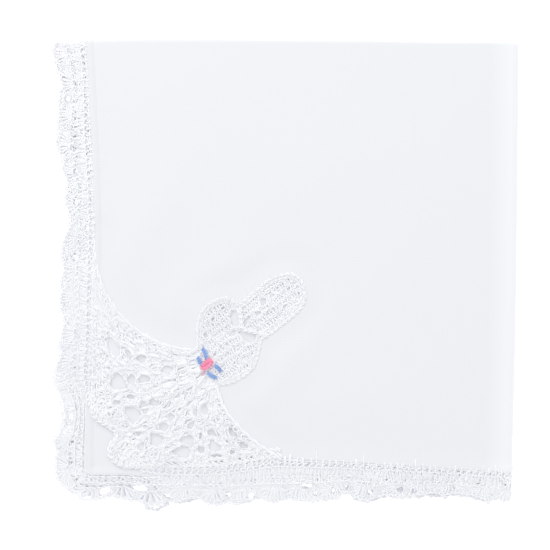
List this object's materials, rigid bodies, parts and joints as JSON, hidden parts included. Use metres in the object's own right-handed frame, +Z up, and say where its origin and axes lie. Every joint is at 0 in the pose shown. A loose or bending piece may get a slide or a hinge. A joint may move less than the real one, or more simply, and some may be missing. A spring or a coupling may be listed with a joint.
{
  "type": "linen handkerchief",
  "caption": "White linen handkerchief folded in quarters, with a crochet edging and a crochet fan, flower and embroidered rosebud at its top corner.",
  "frame": {"origin": "middle of the folded square's bounding box, on the surface that it lies on", "axes": "+Z up out of the cloth, +Y towards the top fold, +X towards the side fold; the crochet corner is at -X, -Y"},
  "size_m": [0.1468, 0.148, 0.007],
  "materials": {
    "linen": "fine white linen lawn, plain weave, pressed",
    "crochet": "white mercerised cotton crochet thread",
    "pink_floss": "pink cotton floss, bullion stitch",
    "blue_floss": "blue cotton floss, bullion stitch"
  },
  "bodies": {
    "root": {"linen": "linen", "lace_edging": "crochet", "lace_corner": "crochet", "lace_flower": "crochet", "rosebud": "pink_floss", "leaf_1": "blue_floss", "leaf_2": "blue_floss", "leaf_3": "blue_floss", "leaf_4": "blue_floss"}
  },
  "joints": []
}
